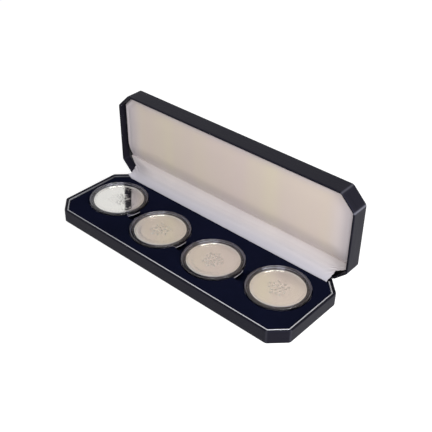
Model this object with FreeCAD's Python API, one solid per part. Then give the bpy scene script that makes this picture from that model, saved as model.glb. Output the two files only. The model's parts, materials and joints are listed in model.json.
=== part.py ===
import FreeCAD, Part
import math
import os

# A presentation case for four large coins in capsules, with its lid standing open on a snap hinge.
# Millimetres, +Z up, +X along the case, +Y towards the hinge. The origin is the middle of the underside.
# Lid pieces are drawn with the lid closed and are then turned open about the hinge pins.

# Case outline, shared by base and lid
case_length = 216.4
case_width = 71.4
corner_cut = 11.2
corner_radius = 3.5
base_height = 11.0
lid_height = 14.1
rim_gap = 0.2
lid_open_angle = 88.5
lid_back_relief = 1.1

# Shells and the leatherette that wraps them
covering_thickness = 0.35
shell_wall = 0.9
shell_floor = 1.1
outer_edge_radius = 1.2
rim_edge_radius = 0.3
base_turn_in = 2.0
lid_turn_in = 6.0
turn_under = 9.0
bottom_sheet_thickness = 0.4
bottom_sheet_inset = 1.6

# Inside of the base
base_card_thickness = 1.7
card_clearance = 0.2
trim_thickness = 0.8
trim_gap = 0.4
trim_drop = 0.5
trim_edge_radius = 0.3
insert_drop = 1.25
insert_floor = 1.05
insert_clearance = 0.15
insert_edge_radius = 0.5
hinge_bay = 4.4

# Coins in a bowed row that fills the case: as many as leave a finger's room between their capsules
coin_diameter = 38.6
coin_thickness = 3.0
coin_rim_width = 1.3
coin_rim_height = 0.25
coin_end_margin = 30.5
end_coin_y = 3.9
middle_coin_y = -2.8
row_shift = -2.0
finger_gap = 4.8
notch_bite = 3.1
notch_shift = -2.4

# Two-part capsules
capsule_floor = 1.7
capsule_window = 1.5
capsule_headroom = 0.2
capsule_wall = 1.2
capsule_plug = 0.75
capsule_plug_gap = 0.27
capsule_fit = 0.08
capsule_split_gap = 0.1
capsule_lip_width = 1.9
capsule_lip_height = 0.25
capsule_edge = 0.3
coin_ring_width = 0.8
coin_ring_clearance = 0.2
coin_ring_height_share = 0.6
capsule_split_share = 0.5
well_clearance = 0.35

# Padding of the lid
lid_card_thickness = 1.5
pad_clearance = 0.15
pad_edge_depth = 4.7
pad_side = 2.0
pad_crown = 0.9
pad_roll = 16.0
pad_side_shares = [(0.0, 1.0), (0.06, 0.35)]
pad_crown_shares = [(0.16, 0.0), (0.45, 0.55), (1.0, 1.0)]

# Snap hinges, one towards each end of the back
hinge_spacing = 110.0
hinge_length = 26.0
hinge_inside = 1.15
hinge_below = 0.3
barrel_radius = 1.1
pin_radius = 0.55
pin_clearance = 0.03
knuckle_length = 9.0
knuckle_gap = 0.2
leaf_thickness = 0.7
notch_clearance = 0.25
rivet_radius = 0.8
rivet_clearance = 0.05
rivet_head_radius = 1.5
rivet_head_height = 0.5
rivet_spacing = 18.0
spring_thickness = 0.4
spring_width = 7.0
spring_clearance = 0.3
spring_knee = 0.6
spring_bend_radius = 0.8
spring_contact_angle = 200.0

# Satin strip over the hinge
cloth_thickness = 0.5
cloth_clearance = 0.15
cloth_tuck = 3.0
cloth_shelf = 4.6
cloth_lid_depth = 5.2
cloth_front = 1.0
cloth_rise = 3.4
cloth_top_radius = 1.0
cloth_shelf_radius = 3.0
cloth_fold_radius = 3.0
cloth_tuck_radius = 0.8

# One overrun serves all cuts, and one tolerance finds edges by height
overrun = 1.0
match = 0.001

# A side of the outline that is drawn in shortens the cut corner's leg by this share of the inset
corner_lean_share = 2 - math.sqrt(2)

# Places worked out from the sizes above
wall_inside = covering_thickness + shell_wall
wall_total = wall_inside + covering_thickness
wrap_low = bottom_sheet_thickness
base_floor_top = wrap_low + covering_thickness + shell_floor
card_top = base_floor_top + base_card_thickness
seat_z = card_top + insert_floor
insert_top = base_height - insert_drop
insert_back = case_width / 2 - hinge_bay
trim_inset = wall_total + trim_gap
trim_top = base_height - trim_drop
lid_rim = base_height + rim_gap
lid_top = lid_rim + lid_height
lid_ceiling = lid_top - covering_thickness - shell_floor
lid_card_face = lid_ceiling - lid_card_thickness
hinge_y = case_width / 2 - hinge_inside
hinge_z = base_height - hinge_below
leaf_y = case_width / 2 - wall_inside - leaf_thickness / 2
back_run = case_length / 2 - corner_cut
coin_radius = coin_diameter / 2
ring_inner = coin_radius + coin_ring_clearance
ring_outer = ring_inner + coin_ring_width
plug_inner = ring_outer + capsule_plug_gap
plug_outer = plug_inner + capsule_plug
wall_inner = plug_outer + capsule_fit
capsule_radius = wall_inner + capsule_wall
capsule_ceiling = capsule_floor + coin_thickness + capsule_headroom
capsule_height = capsule_ceiling + capsule_window
capsule_split = capsule_floor + (capsule_ceiling - capsule_floor) * capsule_split_share
row_length = case_length - 2 * coin_end_margin
coin_gaps = int(row_length / (2 * capsule_radius + finger_gap))
coin_x = [row_shift - row_length / 2 + row_length * number / coin_gaps for number in range(coin_gaps + 1)]
coin_y = [end_coin_y] + [middle_coin_y] * (coin_gaps - 1) + [end_coin_y]
coin_places = list(zip(coin_x, coin_y))
hinge_places = [("left", -hinge_spacing / 2), ("right", hinge_spacing / 2)]


def vector(x, y, z):
    return FreeCAD.Vector(x, y, z)


def save(name, shape):
    shape.exportStep(os.path.join("parts", name + ".step"))


def block(x_span, y_span, z_span):
    """A box between two values on each axis."""
    size = [span[1] - span[0] for span in (x_span, y_span, z_span)]
    return Part.makeBox(*size, vector(x_span[0], y_span[0], z_span[0]))


def rod(radius, x_low, x_high, y, z):
    """A cylinder along X."""
    return Part.makeCylinder(radius, x_high - x_low, vector(x_low, y, z), vector(1, 0, 0))


def case_prism(inset, low, high):
    """The case's eight-sided outline, drawn in by inset on every side, between two heights.

    The rounding of the upright edges keeps its centre, so it ends where the inset reaches its radius.
    """
    x = case_length / 2 - inset
    y = case_width / 2 - inset
    leg = corner_cut - inset * corner_lean_share
    corners = [(x, y - leg), (x - leg, y), (leg - x, y), (-x, y - leg)]
    corners += [(-a, -b) for a, b in corners]
    points = [vector(a, b, low) for a, b in corners]
    face = Part.Face(Part.makePolygon(points + points[:1]))
    solid = face.extrude(vector(0, 0, high - low))
    if inset >= corner_radius:
        return solid
    upright = [e for e in solid.Edges if e.BoundBox.ZLength > (high - low) / 2]
    return solid.makeFillet(corner_radius - inset, upright)


def soften(solid, height, radius):
    """Rounds the edges of a solid that lie at one height."""
    edges = [
        e
        for e in solid.Edges
        if abs(e.BoundBox.ZMin - height) < match and abs(e.BoundBox.ZMax - height) < match
    ]
    return solid.makeFillet(radius, edges)


def back_block(y_span, z_span):
    """A box along the straight run of the back wall."""
    return block((-back_run, back_run), y_span, z_span)


def turned(profile, place):
    """A solid of revolution about an upright axis, from (radius, height) points."""
    points = [vector(r, 0, z) for r, z in profile]
    face = Part.Face(Part.makePolygon(points + points[:1]))
    solid = face.revolve(vector(0, 0, 0), vector(0, 0, 1), 360)
    solid.translate(vector(place[0], place[1], seat_z))
    return solid


def open_lid(shape):
    """Turns a piece drawn on the closed lid to where it stands with the lid open."""
    opened = shape.copy()
    opened.rotate(vector(0, hinge_y, hinge_z), vector(-1, 0, 0), lid_open_angle)
    return opened


def open_point(y, z):
    """Where a point of the closed lid stands with the lid open."""
    return open_lid(Part.Vertex(0, y, z)).Point


def unit(v):
    return v * (1 / v.Length)


def rounded_edges(points, radii):
    """Straight edges through points, with each inner corner rounded by a tangent arc."""
    edges = []
    start = points[0]
    for before, corner, after, radius in zip(points, points[1:], points[2:], radii):
        back = unit(before - corner)
        ahead = unit(after - corner)
        half = back.getAngle(ahead) / 2
        reach = radius / math.tan(half)
        middle = unit(back + ahead) * (radius / math.sin(half) - radius)
        edges.append(Part.makeLine(start, corner + back * reach))
        arc = Part.Arc(corner + back * reach, corner + middle, corner + ahead * reach)
        edges.append(arc.toShape())
        start = corner + ahead * reach
    edges.append(Part.makeLine(start, points[-1]))
    return edges


def sheet(points, radii, thickness, x_low, x_high):
    """A bent sheet along X: its mid-line goes through points across X, its corners have mid-line radii."""
    ways = [unit(b - a) for a, b in zip(points, points[1:])]
    sides = [vector(1, 0, 0).cross(w) for w in ways]
    turns = [math.copysign(1, a.cross(b).x) for a, b in zip(ways, ways[1:])]
    loop = []
    for half in (thickness / 2, -thickness / 2):
        inner = [
            p + (a + b) * (half / (1 + a.dot(b))) for p, a, b in zip(points[1:], sides, sides[1:])
        ]
        line = [points[0] + sides[0] * half] + inner + [points[-1] + sides[-1] * half]
        arcs = [r - half * turn for r, turn in zip(radii, turns)]
        loop.append((line, rounded_edges(line, arcs)))
    (left, left_edges), (right, right_edges) = loop
    caps = [Part.makeLine(left[0], right[0]), Part.makeLine(left[-1], right[-1])]
    wire = Part.Wire(Part.__sortEdges__(left_edges + right_edges + caps))
    solid = Part.Face(wire).extrude(vector(x_high - x_low, 0, 0))
    solid.translate(vector(x_low, 0, 0))
    return solid


def rivet_places():
    return [x + side * rivet_spacing / 2 for _, x in hinge_places for side in (-1, 1)]


def rivet_bars(radius, y_low, y_high, z):
    """One bar along Y at each rivet of a row of leaves."""
    return [
        Part.makeCylinder(radius, y_high - y_low, vector(x, y_low, z), vector(0, 1, 0))
        for x in rivet_places()
    ]


def rivets(z):
    """Rivets from the inner face of the leaves to the outer face of the shell's back wall."""
    leaf_face = leaf_y - leaf_thickness / 2
    heads = rivet_bars(rivet_head_radius, leaf_face - rivet_head_height, leaf_face, z)
    shanks = rivet_bars(rivet_radius, leaf_face, case_width / 2 - covering_thickness, z)
    return [head.fuse(shank).removeSplitter() for head, shank in zip(heads, shanks)]


def rivet_holes(z):
    y_low = leaf_y - leaf_thickness
    return rivet_bars(rivet_radius + rivet_clearance, y_low, case_width / 2 - covering_thickness, z)


# Hinge leaves stand against the inner faces of the back walls and run into the barrel.
# Their rivets sit midway between the shell's floor and the slot for the barrel.
leaf_reach = hinge_z - base_floor_top
slot_low = hinge_z - barrel_radius - notch_clearance
base_rivet_z = (base_floor_top + slot_low) / 2
lid_rivet_z = 2 * hinge_z - base_rivet_z


def leaf(x, way, knuckles, gaps):
    """A hinge leaf: a plate that runs down (way -1) or up (way 1) from the pin, and its barrel.

    The plate is cut back at the other leaf's knuckles, and the pin's bore goes right through.
    """
    x_span = (x - hinge_length / 2, x + hinge_length / 2)
    y_span = (leaf_y - leaf_thickness / 2, leaf_y + leaf_thickness / 2)
    plate = block(x_span, y_span, sorted((hinge_z, hinge_z + way * leaf_reach)))
    barrel = [rod(barrel_radius, x + a, x + b, hinge_y, hinge_z) for a, b in knuckles]
    room = barrel_radius + knuckle_gap
    cuts = [block((x + a, x + b), y_span, (hinge_z - room, hinge_z + room)) for a, b in gaps]
    bore = rod(pin_radius + pin_clearance, *x_span, hinge_y, hinge_z)
    return plate.cut(cuts).fuse(barrel).removeSplitter().cut(bore)


# Base shell: a moulded tray, slotted at the back for the hinges
shell_low = wrap_low + covering_thickness
shell_high = base_height - covering_thickness
base_core = soften(
    case_prism(covering_thickness, shell_low, shell_high),
    shell_low,
    outer_edge_radius - covering_thickness,
)
slot_half = hinge_length / 2 + notch_clearance
slot_spans = (insert_back, case_width / 2 + overrun), (slot_low, base_height + overrun)
base_slots = [block((x - slot_half, x + slot_half), *slot_spans) for _, x in hinge_places]
base_shell = base_core.cut(case_prism(wall_inside, base_floor_top, base_height))
base_shell = base_shell.cut(base_slots + rivet_holes(base_rivet_z))

# Base covering: wraps the wall, turned in over the rim and turned under at the bottom
base_wrap = case_prism(0, wrap_low, base_height)
base_wrap = soften(base_wrap, wrap_low, outer_edge_radius)
base_wrap = soften(base_wrap, base_height, rim_edge_radius)
base_turn_low = shell_high - base_turn_in
base_margin = case_prism(wall_inside, base_turn_low, shell_high)
base_margin = base_margin.cut(
    back_block((case_width / 2 - wall_total, case_width / 2 - wall_inside), (base_turn_low, shell_high))
)
base_covering = base_wrap.cut(base_core).fuse(base_margin)
base_covering = base_covering.cut(case_prism(wall_total, base_turn_low, base_height))
base_covering = base_covering.cut(case_prism(turn_under, wrap_low, shell_low))
base_covering = base_covering.removeSplitter().cut(base_slots)

base_bottom_sheet = case_prism(bottom_sheet_inset, 0, bottom_sheet_thickness)
base_card = case_prism(wall_inside + card_clearance, base_floor_top, card_top)
base_card = base_card.cut(back_block((insert_back, case_width / 2), (base_floor_top, card_top)))

# Rim trim: a bright strip that stands on the card inside the wall, open along the hinge
rim_trim = case_prism(trim_inset, card_top, trim_top)
rim_trim = rim_trim.cut(case_prism(trim_inset + trim_thickness, card_top, trim_top))
rim_trim = rim_trim.cut(back_block((insert_back, case_width / 2), (card_top, trim_top)))
rim_trim = soften(rim_trim, trim_top, trim_edge_radius)

# Coin insert: four wells, with a finger notch between neighbours
insert_inset = trim_inset + trim_thickness + insert_clearance
coin_insert = case_prism(insert_inset, card_top, insert_top)
case_span = (-case_length / 2, case_length / 2)
coin_insert = coin_insert.cut(block(case_span, (insert_back, case_width / 2), (card_top, insert_top)))
coin_insert = soften(coin_insert, insert_top, insert_edge_radius)


def pocket(radius, x, y):
    """The space of a round pocket in the insert, with a rolled edge at its mouth."""
    roll = insert_edge_radius
    corner = roll * (1 - math.sqrt(0.5))
    low = vector(radius, 0, insert_top - roll)
    high = vector(radius + roll, 0, insert_top)
    edge = Part.Arc(low, vector(radius + corner, 0, insert_top - corner), high).toShape()
    rest = [high, vector(0, 0, insert_top), vector(0, 0, seat_z), vector(radius, 0, seat_z), low]
    wire = Part.Wire([edge] + [Part.makeLine(a, b) for a, b in zip(rest, rest[1:])])
    solid = Part.Face(wire).revolve(vector(0, 0, 0), vector(0, 0, 1), 360)
    solid.translate(vector(x, y, 0))
    return solid


wells = [pocket(capsule_radius + well_clearance, x, y) for x, y in coin_places]
notches = []
for one, other in zip(coin_places, coin_places[1:]):
    notch_radius = math.dist(one, other) / 2 - capsule_radius + notch_bite
    notches.append(pocket(notch_radius, (one[0] + other[0]) / 2, (one[1] + other[1]) / 2 + notch_shift))
coin_insert = coin_insert.cut(wells + notches)

# Lid shell and covering, drawn closed on the base.
# The lid's back wall is cut back from the rim, so that it swings down behind the base.
lid_shell_low = lid_rim + covering_thickness
lid_shell_high = lid_top - covering_thickness
relief_y = case_width / 2 - wall_total - notch_clearance
relief_high = lid_rim + lid_back_relief


def relief(margin):
    """The space under the lid's back wall, grown inwards and upwards by a margin."""
    y_span = (relief_y - margin, case_width / 2 + overrun)
    return block(case_span, y_span, (lid_rim - overrun, relief_high + margin))


lid_core = soften(
    case_prism(covering_thickness, lid_shell_low, lid_shell_high),
    lid_shell_high,
    outer_edge_radius - covering_thickness,
)
lid_core = lid_core.cut(relief(covering_thickness))
lid_shell = lid_core.cut(case_prism(wall_inside, lid_rim, lid_ceiling))
lid_shell = lid_shell.cut(rivet_holes(lid_rivet_z))

lid_wrap = case_prism(0, lid_rim, lid_top)
lid_wrap = soften(lid_wrap, lid_top, outer_edge_radius)
lid_wrap = soften(lid_wrap, lid_rim, rim_edge_radius)
lid_turn_high = lid_shell_low + lid_turn_in
lid_margin = case_prism(wall_inside, lid_shell_low, lid_turn_high)
leaf_bed = back_block((case_width / 2 - wall_total, case_width / 2 - wall_inside), (lid_rim, lid_turn_high))
lid_covering = lid_wrap.cut(lid_core).fuse(lid_margin)
lid_covering = lid_covering.cut([case_prism(wall_total, lid_rim, lid_turn_high), leaf_bed, relief(0)])
lid_covering = lid_covering.removeSplitter()

lid_card = case_prism(wall_inside + card_clearance, lid_card_face, lid_ceiling)


# Lid pad: foam on the card under satin, rolled over at its edges and slightly crowned.
# Its foot runs straight across, where the cut corners beside the hinge begin.
pad_inset = wall_total + pad_clearance
pad_foot_y = case_width / 2 - corner_cut - pad_inset * (1 - corner_lean_share)
pad_edge_z = lid_rim + pad_edge_depth


def pad_section(draw_in, z):
    """The pad's outline drawn in: cut corners at the front of the lid, a straight foot at the hinge."""
    inset = pad_inset + draw_in
    x = case_length / 2 - inset
    y = case_width / 2 - inset
    leg = corner_cut - inset * corner_lean_share
    foot = pad_foot_y - draw_in
    points = [vector(a, b, z) for a, b in ((x, foot), (-x, foot), (-x, leg - y), (leg - x, -y))]
    points += [vector(x - leg, -y, z), vector(x, leg - y, z)]
    return Part.makePolygon(points + points[:1])


pad_rows = [(0, lid_card_face)]
pad_rows += [(share * pad_roll, pad_edge_z + drop * pad_side) for share, drop in pad_side_shares]
pad_rows += [(share * pad_roll, pad_edge_z - rise * pad_crown) for share, rise in pad_crown_shares]
lid_pad = Part.makeLoft([pad_section(*row) for row in pad_rows], True, True)

# Hinge cloth: from the card behind the pad's foot, over the hinge, to the back of the insert
cloth_half = cloth_thickness / 2
cloth_top_y = pad_foot_y + cloth_clearance + cloth_half
cloth_shelf_y = case_width / 2 - cloth_shelf
cloth_shelf_z = lid_rim + cloth_lid_depth
cloth_front_y = insert_back + cloth_clearance + cloth_half
cloth_points = [
    open_point(cloth_top_y, lid_card_face),
    open_point(cloth_top_y, cloth_shelf_z),
    open_point(cloth_shelf_y, cloth_shelf_z),
    vector(0, case_width / 2 - cloth_front, base_height + cloth_rise),
    vector(0, cloth_front_y, insert_top),
    vector(0, cloth_front_y, insert_top - cloth_tuck),
]
cloth_radii = [cloth_top_radius, cloth_shelf_radius, cloth_fold_radius, cloth_tuck_radius]
cloth_strip = sheet(cloth_points, cloth_radii, cloth_thickness, *case_span)
cloth_in_lid = open_lid(case_prism(pad_inset, lid_rim - hinge_bay - overrun, lid_card_face + overrun))
cloth_reach = back_run - pad_inset
cloth_low = block((-cloth_reach, cloth_reach), (0, case_width), (0, base_height + cloth_rise))
hinge_cloth = cloth_strip.common(cloth_in_lid.fuse(cloth_low)).removeSplitter()

# Capsules: the bottom has a ring that centres the coin, the top plugs in around that ring
ring_top = capsule_floor + coin_thickness * coin_ring_height_share
top_low = capsule_split + capsule_split_gap
capsule_bottom_profile = [
    (0, 0),
    (capsule_radius - capsule_edge, 0),
    (capsule_radius, capsule_edge),
    (capsule_radius, capsule_split),
    (wall_inner, capsule_split),
    (wall_inner, capsule_floor),
    (ring_outer, capsule_floor),
    (ring_outer, ring_top),
    (ring_inner, ring_top),
    (ring_inner, capsule_floor),
    (0, capsule_floor),
]
capsule_top_profile = [
    (0, capsule_ceiling),
    (plug_inner, capsule_ceiling),
    (plug_inner, capsule_floor + capsule_headroom),
    (plug_outer, capsule_floor + capsule_headroom),
    (plug_outer, top_low),
    (capsule_radius, top_low),
    (capsule_radius, capsule_height - capsule_edge),
    (capsule_radius - capsule_edge, capsule_height),
    (capsule_radius - capsule_lip_width, capsule_height),
    (capsule_radius - capsule_lip_width - capsule_lip_height, capsule_height - capsule_lip_height),
    (0, capsule_height - capsule_lip_height),
]

# Coins: blanks with a raised rim on both faces
field_radius = coin_radius - coin_rim_width
coin_top = capsule_floor + coin_thickness
coin_profile = [
    (0, capsule_floor + coin_rim_height),
    (field_radius - coin_rim_height, capsule_floor + coin_rim_height),
    (field_radius, capsule_floor),
    (coin_radius, capsule_floor),
    (coin_radius, coin_top),
    (field_radius, coin_top),
    (field_radius - coin_rim_height, coin_top - coin_rim_height),
    (0, coin_top - coin_rim_height),
]

# Snap spring: a strip on the base leaf that bears on the barrel of the lid leaf
spring_y = leaf_y - leaf_thickness / 2 - spring_thickness / 2
spring_angle = math.radians(spring_contact_angle)
spring_reach = barrel_radius + spring_clearance + spring_thickness / 2
spring_tip_y = hinge_y + spring_reach * math.cos(spring_angle)
spring_tip_z = hinge_z + spring_reach * math.sin(spring_angle)
spring_points = [
    vector(0, spring_y, base_floor_top + spring_clearance),
    vector(0, spring_y, hinge_z - barrel_radius - spring_knee),
    vector(0, spring_tip_y, spring_tip_z),
]

half_hinge = hinge_length / 2
half_knuckle = knuckle_length / 2
side_knuckles = [(-half_hinge, -half_knuckle - knuckle_gap), (half_knuckle + knuckle_gap, half_hinge)]
middle_gap = [(-half_knuckle - knuckle_gap, half_knuckle + knuckle_gap)]
side_gaps = [(-half_hinge, -half_knuckle), (half_knuckle, half_hinge)]

os.makedirs("parts", exist_ok=True)
save("base_shell", base_shell)
save("base_covering", base_covering)
save("base_bottom_sheet", base_bottom_sheet)
save("base_card", base_card)
save("rim_trim", rim_trim)
save("coin_insert", coin_insert)
save("lid_shell", open_lid(lid_shell))
save("lid_covering", open_lid(lid_covering))
save("lid_card", open_lid(lid_card))
save("lid_pad", open_lid(lid_pad))
save("hinge_cloth", hinge_cloth)
save("hinge_base_rivets", Part.makeCompound(rivets(base_rivet_z)))
save("hinge_lid_rivets", open_lid(Part.makeCompound(rivets(lid_rivet_z))))
for side, x in hinge_places:
    base_leaf = leaf(x, -1, side_knuckles, middle_gap)
    lid_leaf = leaf(x, 1, [(-half_knuckle, half_knuckle)], side_gaps)
    spring_half = spring_width / 2
    save("hinge_base_leaf_" + side, base_leaf.cut(rivet_holes(base_rivet_z)))
    save("hinge_lid_leaf_" + side, open_lid(lid_leaf.cut(rivet_holes(lid_rivet_z))))
    save("hinge_pin_" + side, rod(pin_radius, x - half_hinge, x + half_hinge, hinge_y, hinge_z))
    spring = sheet(spring_points, [spring_bend_radius], spring_thickness, x - spring_half, x + spring_half)
    save("hinge_spring_" + side, spring)
for number, place in enumerate(coin_places, start=1):
    save("capsule_bottom_" + str(number), turned(capsule_bottom_profile, place))
    save("capsule_top_" + str(number), turned(capsule_top_profile, place))
    save("coin_" + str(number), turned(coin_profile, place))
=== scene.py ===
import json

import bmesh
import bpy
import numpy as np
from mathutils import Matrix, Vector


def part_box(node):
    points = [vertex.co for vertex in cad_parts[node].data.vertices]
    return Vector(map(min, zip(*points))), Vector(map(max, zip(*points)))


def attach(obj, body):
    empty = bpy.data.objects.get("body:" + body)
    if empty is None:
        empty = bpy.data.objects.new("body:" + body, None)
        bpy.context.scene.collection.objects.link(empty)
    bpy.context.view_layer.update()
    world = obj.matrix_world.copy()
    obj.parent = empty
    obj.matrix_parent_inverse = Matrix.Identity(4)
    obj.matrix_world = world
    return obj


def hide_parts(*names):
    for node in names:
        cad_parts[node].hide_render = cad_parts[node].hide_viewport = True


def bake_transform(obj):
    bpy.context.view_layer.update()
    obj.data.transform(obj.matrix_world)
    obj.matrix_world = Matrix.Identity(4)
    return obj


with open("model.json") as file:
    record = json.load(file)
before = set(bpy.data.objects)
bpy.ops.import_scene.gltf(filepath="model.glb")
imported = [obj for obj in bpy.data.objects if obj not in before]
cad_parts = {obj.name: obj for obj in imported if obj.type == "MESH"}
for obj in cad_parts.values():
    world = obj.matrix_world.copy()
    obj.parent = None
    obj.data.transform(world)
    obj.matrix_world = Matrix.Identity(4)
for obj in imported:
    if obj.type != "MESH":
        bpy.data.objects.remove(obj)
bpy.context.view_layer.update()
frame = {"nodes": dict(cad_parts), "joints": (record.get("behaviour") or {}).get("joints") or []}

# Shells: the trays of the base and the lid, which give the case its shape under the leatherette.
# Injection-moulded black polystyrene with a fine spark-eroded face, slotted at the back for the hinges.
mm = 0.001


def linear(hex_code):
    """An sRGB hex colour as linear red, green, blue and full alpha."""
    srgb = np.array([int(hex_code[i : i + 2], 16) for i in (1, 3, 5)]) / 255
    curved = ((srgb + 0.055) / 1.055) ** 2.4
    return (*np.where(srgb <= 0.04045, srgb / 12.92, curved), 1.0)


def blank_material(name):
    """A material with an empty node tree."""
    material = bpy.data.materials.new(name)
    material.use_nodes = True
    material.node_tree.nodes.clear()
    return material


def add_node(owner, kind, out=None, inputs=None, **settings):
    """Adds a node: sets its settings, fills inputs with values or links, and returns its output named out.

    An input is found by its name, or by its number where several have one name.
    """
    node = owner.node_tree.nodes.new(kind)
    for setting, value in settings.items():
        setattr(node, setting, value)
    for key, value in (inputs or {}).items():
        socket = next(s for i, s in enumerate(node.inputs) if key in (i, s.name) and s.enabled)
        if isinstance(value, bpy.types.NodeSocket):
            owner.node_tree.links.new(value, socket)
        else:
            socket.default_value = value
    return next((s for s in node.outputs if s.name == out and s.enabled), None)


def dress(material, *nodes):
    """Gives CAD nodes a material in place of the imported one."""
    for node in nodes:
        slots = frame["nodes"][node].data.materials
        slots.clear()
        slots.append(material)


# Moulded polystyrene: near black, with the dull speckled gloss of a spark-eroded mould, drawn a few times as
# coarse as it is so that it shows
spark_grain = 0.6 * mm
polystyrene = blank_material("polystyrene_moulded_black")
place = add_node(polystyrene, "ShaderNodeTexCoord", "Object")
speckle = add_node(polystyrene, "ShaderNodeTexNoise", "Fac", {"Vector": place, "Scale": 1 / spark_grain})
bump = add_node(
    polystyrene,
    "ShaderNodeBump",
    "Normal",
    {"Height": speckle, "Strength": 0.3, "Distance": 0.05 * mm},
)
gloss = add_node(
    polystyrene, "ShaderNodeMapRange", "Result", {"Value": speckle, "To Min": 0.42, "To Max": 0.6}
)
shader = add_node(
    polystyrene,
    "ShaderNodeBsdfPrincipled",
    "BSDF",
    {"Base Color": linear("#141418"), "Roughness": gloss, "Normal": bump, "IOR": 1.59},
)
add_node(polystyrene, "ShaderNodeOutputMaterial", inputs={"Surface": shader})
dress(polystyrene, "base_shell", "lid_shell")

# Base covering: leatherette paper wrapped round the wall, folded in over the rim and turned under below.
# Its edges are rolled over the moulding, and it is lapped at the upright corners, where it rubs pale.
covering_thickness = 0.35
wall_thickness = 1.6
corner_cut = 11.2
corner_radius = 3.5
outer_edge = 1.2
rim_edge = 0.65
cut_edge = 0.05
base_turn_in = 2.0
turn_under = 3.3
slot_clearance = 0.25
slot_depth = 2.45
lap_height = 0.06
lap_width = 0.45
rub_width = 0.7
flat_share = 1.3
arc_points = 13
end_points = 10
long_points = 37
long_run = 90.0
slot_step = 0.05
merge_gap = 0.001
# How pale each upright corner is rubbed, from the back one at the right end round by the back and the left
base_wear_shares = np.array([0.08, 0.05, 0.05, 0.05, 0.06, 0.08, 0.1, 0.12])


def box_mm(node):
    """Lowest and highest corner of a CAD node at rest, in millimetres."""
    return tuple(np.array(corner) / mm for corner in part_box(node))


base_low, base_high = box_mm("base_covering")
case_length, case_width = (base_high - base_low)[:2]
base_floor, base_rim = base_low[2], base_high[2]
leaf_low, leaf_high = box_mm("hinge_base_leaf_right")
slot_span = np.array([leaf_low[0] - slot_clearance, leaf_high[0] + slot_clearance])


def case_path():
    """Points round the case's eight-sided outline, with their outward normals.

    A side lies at its own distance from the middle along its normal, and normals are an eighth of a turn
    apart. A corner is an arc whose centre lies one radius inside both of its sides. Also returned are each
    point's distance from its corner's middle along the arc, set far off on the straight sides, that corner's
    number, whether the point is at a hinge slot, and whether it is on the back.
    """
    eighth = np.radians(45)
    long_sides = (2, 6)
    arc_share = np.linspace(0, 1, arc_points)
    slot_edges = np.concatenate([slot_span - slot_step, slot_span + slot_step])
    run_x = np.concatenate([np.linspace(-long_run, long_run, long_points), slot_edges, -slot_edges])
    turn = eighth * np.arange(8)
    normals = np.stack([np.cos(turn), np.sin(turn)], -1)
    diagonal = (case_length / 2 + case_width / 2 - corner_cut) / np.sqrt(2)
    reach = np.array([case_length / 2, diagonal, case_width / 2, diagonal] * 2) - corner_radius
    pairs = np.stack([normals, np.roll(normals, -1, 0)], 1)
    centres = np.linalg.solve(pairs, np.stack([reach, np.roll(reach, -1)], 1)[..., None])[..., 0]
    points, directions, bends, corners = [], [], [], []
    for side in range(8):
        start = centres[side - 1] + corner_radius * normals[side]
        end = centres[side] + corner_radius * normals[side]
        share = np.linspace(0, 1, end_points)[1:-1]
        if side in long_sides:
            share = np.sort((run_x - start[0]) / (end[0] - start[0]))
        angle = turn[side] + eighth * arc_share
        arc = np.stack([np.cos(angle), np.sin(angle)], -1)
        points += [start + share[:, None] * (end - start), centres[side] + corner_radius * arc]
        directions += [np.tile(normals[side], (len(share), 1)), arc]
        bends += [np.full(len(share), case_length), eighth * corner_radius * (arc_share - 0.5)]
        corners += [np.full(len(share) + len(arc), side)]
    points, directions = np.concatenate(points), np.concatenate(directions)
    at_slot = (np.abs(points[:, 0]) > slot_span[0]) & (np.abs(points[:, 0]) < slot_span[1])
    at_back = np.isclose(directions[:, 1], 1)
    return points, directions, np.concatenate(bends), np.concatenate(corners), at_slot & at_back, at_back


def rounded(corners, steps=5, flat=flat_share):
    """A profile with rounded corners, each given as (across, up, reach).

    A corner becomes a parabola from a reach before it to a reach after it. A point before and after each
    parabola, flat times the reach from the corner, keeps the runs between them flat when shaded.
    """
    corners, reach = np.split(np.array(corners, float), [2], axis=1)
    back = np.roll(corners, 1, 0) - corners
    ahead = np.roll(corners, -1, 0) - corners
    back = back / np.linalg.norm(back, axis=1, keepdims=True) * reach
    ahead = ahead / np.linalg.norm(ahead, axis=1, keepdims=True) * reach
    share = np.linspace(0, 1, steps)[:, None, None]
    curve = corners + (1 - share) ** 2 * back + share**2 * ahead
    curve = np.concatenate([[corners + flat * back], curve, [corners + flat * ahead]])
    return curve.swapaxes(0, 1).reshape(-1, 2)


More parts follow.
